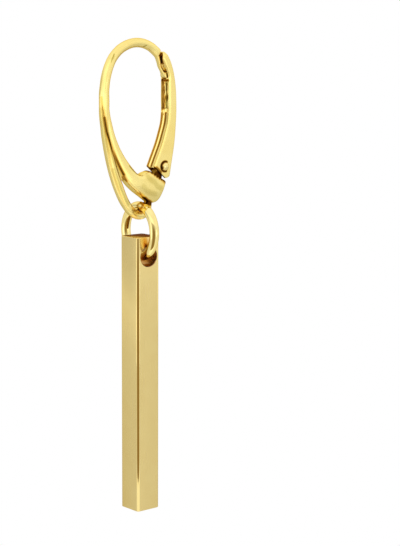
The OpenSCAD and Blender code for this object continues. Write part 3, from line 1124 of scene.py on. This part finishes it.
def white_for_camera(nodes, links, brightness):
    """Strength that is white where the camera looks straight at it, and brightness in reflections."""
    seen = new_node(nodes, "LightPath")
    choose = new_node(nodes, "Mix", {3: 1.0})
    links.new(seen.outputs["Is Camera Ray"], choose.inputs[0])
    links.new(brightness, choose.inputs[2])
    return choose.outputs[0]


def shaded(nodes, links, direction, strength, way, edge, shade):
    """Strength dulled smoothly round a direction."""
    facing = vector_math(nodes, links, "DOT_PRODUCT", direction, way)
    fade = spread(nodes, links, facing, edge, 1, 1, 1 - shade, "SMOOTHSTEP")
    product = new_node(nodes, "Math", operation="MULTIPLY")
    links.new(strength, product.inputs[0])
    links.new(fade, product.inputs[1])
    return product.outputs["Value"]


def light_ramp(nodes, links, source, table):
    """Strength from a table of (position, brightness)."""
    ramp = ramp_node(nodes, links, source, [(p, (v / BRIGHTEST,) * 3) for p, v in table])
    strength = new_node(nodes, "Math", {1: BRIGHTEST}, operation="MULTIPLY")
    links.new(ramp, strength.inputs[0])
    return strength.outputs["Value"]


def make_floor():
    """Wide pale floor under the hanging bar."""
    half = FLOOR_HALF
    z = cad_box[0].z - FLOOR_DROP
    mesh = bpy.data.meshes.new("floor")
    mesh.from_pydata([(-half, -half, z), (half, -half, z), (half, half, z), (-half, half, z)], [],
                     [(0, 1, 2, 3)])
    floor = add_object("floor", mesh)
    mat, nodes, links, glow = glow_material("pale_floor")
    place = new_node(nodes, "TexCoord").outputs["Object"]
    strength = light_ramp(nodes, links, vector_math(nodes, links, "LENGTH", place), FLOOR_LIGHT)
    flat = vector_math(nodes, links, "MULTIPLY", place, (1, 1, 0))
    direction = vector_math(nodes, links, "NORMALIZE", flat)
    for way, edge, shade in FLOOR_SHADES:
        strength = shaded(nodes, links, direction, strength, way, edge, shade)
    links.new(white_for_camera(nodes, links, strength), glow.inputs["Strength"])
    floor.data.materials.append(mat)


def make_camera():
    """Camera at the photo's angle."""
    data = bpy.data.cameras.new("camera")
    data.lens = CAMERA_LENS
    data.sensor_width = SENSOR_WIDTH
    data.clip_start = NEAREST
    camera = add_object("camera", data)
    forward = CAMERA_WAY.normalized()
    right = forward.cross(Vector((0, 0, 1))).normalized()
    up = right.cross(forward)
    roll = math.radians(CAMERA_ROLL)
    rolled_right = right * math.cos(roll) + up * math.sin(roll)
    rolled_up = up * math.cos(roll) - right * math.sin(roll)
    turn = Matrix((rolled_right, rolled_up, -forward)).transposed()
    camera.matrix_world = Matrix.Translation(CAMERA_AT) @ turn.to_4x4()
    bpy.context.scene.camera = camera


def make_light():
    """White tent round the object, soft lights at both sides of the camera, and the dark card."""
    world = bpy.data.worlds.new("tent")
    bpy.context.scene.world = world
    world.use_nodes = True
    nodes = world.node_tree.nodes
    links = world.node_tree.links
    place = new_node(nodes, "TexCoord")
    parts = new_node(nodes, "SeparateXYZ")
    links.new(place.outputs["Generated"], parts.inputs["Vector"])
    strength = light_ramp(nodes, links, parts.outputs["Z"], TENT_LIGHT)
    for way, edge, shade in TENT_SHADES:
        strength = shaded(nodes, links, place.outputs["Generated"], strength, way, edge, shade)
    background = nodes["Background"]
    background.inputs["Color"].default_value = (1, 1, 1, 1)
    links.new(white_for_camera(nodes, links, strength), background.inputs["Strength"])
    for name, side, height, distance, size, brightness in SOFTBOXES:
        way = towards(side, height)
        light = area_light(name, size, size, brightness)
        light.location = LIGHT_TARGET + way * distance
        light.rotation_euler = (-way).to_track_quat("-Z", "Y").to_euler()
    add_gap()


def area_light(name, width, height, brightness):
    """Flat soft light that the camera doesn't see; brightness is what it adds to a reflection of it."""
    data = bpy.data.lights.new(name, "AREA")
    data.shape = "RECTANGLE"
    data.size = width
    data.size_y = height
    data.energy = brightness * math.pi * width * height
    light = add_object(name, data)
    light.visible_camera = False
    return light


def add_gap():
    """Upright card before the ring and bar, dark in its middle, that only reflections show."""
    way = towards(GAP_SIDE, 0)
    across = Vector((-way.y, way.x, 0)) * GAP_WIDTH / 2
    bottom = cad_box[0].z - GAP_DROP
    far = way * GAP_DISTANCE
    n = GAP_CELLS + 1
    columns = np.linspace(-1, 1, n)
    levels = np.linspace(bottom, GAP_TOP, n)
    verts = [Vector((far.x, far.y, z)) + across * c for z in levels for c in columns]
    faces = [(j * n + i, j * n + i + 1, (j + 1) * n + i + 1, (j + 1) * n + i)
             for j in range(GAP_CELLS) for i in range(GAP_CELLS)]
    gap = mesh_object("camera_gap", np.array(verts) / MM, faces)
    middle = [(far.x / MM, far.y / MM, z / MM) for z in (bottom, GAP_CORE_TOP)]
    paint_shade_or_mark(gap, "shade", [(middle, GAP_WIDTH / 2 / MM, 1)])
    mat, nodes, links, glow = glow_material("dark_cloth")
    links.new(shade_node(nodes, links, "shade", [(0, GAP_PALE), (1, GAP_DARK)]), glow.inputs["Color"])
    gap.data.materials.append(mat)
    gap.visible_camera = False
    gap.visible_shadow = False
    gap.visible_diffuse = False


def add_linked_light(name, place, way, width, height, brightness, pieces):
    """Flat soft light that reaches only some pieces. One that shines level stands aslant, on a corner."""
    light = area_light(name, width, height, brightness)
    light.location = place
    light.rotation_euler = way.to_track_quat("-Z", "Z").to_euler()
    lit = bpy.data.collections.new(name)
    for piece in pieces:
        lit.objects.link(piece)
    light.light_linking.receiver_collection = lit


def light_pieces(hook, lever, ring):
    """Lights of single pieces: before the card, over the floor, and under the hook's loop."""
    way = towards(GAP_SIDE, 0)
    floor_z = cad_box[0].z
    near = way * (GAP_DISTANCE - MM)
    for name, place, top, brightness, pieces in (
            ("hook_light", near, GAP_TOP, HOOK_LIGHT, [hook, lever]),
            ("strip_light", near - way * MM, STRIP_LIGHT_TOP, STRIP_LIGHT, [hook])):
        middle = place + Vector((0, 0, (top + floor_z) / 2))
        add_linked_light(name, middle, -way, GAP_WIDTH, top - floor_z, brightness, pieces)
    up = Vector((0, 0, 1))
    low = Vector((0, 0, floor_z - LOW_LIGHT_DROP))
    add_linked_light("low_light", low, up, LOW_LIGHT_SIZE, LOW_LIGHT_SIZE, LOW_LIGHT, [ring])
    loop = box_centre("jump_ring") * MM + Vector((0, 0, CURL_LIGHT_UP))
    add_linked_light("curl_light", loop, up, CURL_LIGHT_SIZE, CURL_LIGHT_SIZE, CURL_LIGHT, [hook])


def dress(obj, node, body, mat):
    """Puts a finished piece in place of its CAD node."""
    obj.data.materials.clear()
    obj.data.materials.append(mat)
    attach(obj, body)
    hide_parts(node)


# Scene

make_camera()
make_light()
make_floor()

cast_gold = gold("cast_gold", (0.94, 0.78, 0.29), (0.91, 0.72, 0.24), (0.2, 0.28), 0.12, relief=0.001)
bright_gold = gold("bright_gold", (0.93, 0.785, 0.34), (0.91, 0.74, 0.29), (0.04, 0.09), 0.08, relief=0.0003,
                   shade_open=0.5)
satin_gold = gold("satin_gold", (0.93, 0.74, 0.31), (0.91, 0.71, 0.29), (0.22, 0.3), 0.08,
                  grain=(1, 1, 0.02), relief=0.0008)

hook = make_hook()
lever = make_lever()
dress(hook, "ear_hook", "hook", cast_gold)
dress(lever, "lever", "lever", cast_gold)
dress(make_rivet(), "rivet", "hook", bright_gold)
ring = make_ring()
dress(ring, "jump_ring", "ring", bright_gold)
light_pieces(hook, lever, ring)

sawn_gold = gold("sawn_gold", (0.93, 0.74, 0.31), (0.9, 0.7, 0.28), (0.35, 0.5), 0.1, relief=0.003,
                 tint=SAWN_TINT)
shade_across(sawn_gold, SAWN_WAY, *SAWN_SPAN, SAWN_SHADE)
# Darker copy of the gold for the hole's wall: painted shade inside the hole
hole_shade_gold = gold("hole_shade_gold", (0.54, 0.31, 0.14), (0.46, 0.25, 0.1), (0.2, 0.3), 0.1, relief=0.002)
# Painted amber reflection of the ring on the bar's satin faces
reflection_patch(satin_gold, RING_REFLECTION_AT, RING_REFLECTION_RADII, RING_REFLECTION_AMBER)
edge_gold = gold("edge_gold", (0.94, 0.76, 0.32), (0.92, 0.72, 0.28), (0.05, 0.09), 0.08,
                 grain=(1, 1, 0.02), relief=0.0003)
bar = make_bar()
dress(bar, "bar", "bar", satin_gold)
finish_bar(bar, sawn_gold, edge_gold, hole_shade_gold)

scene = bpy.context.scene
scene.view_settings.view_transform = "Standard"
scene.cycles.max_bounces = 16
scene.cycles.glossy_bounces = 12
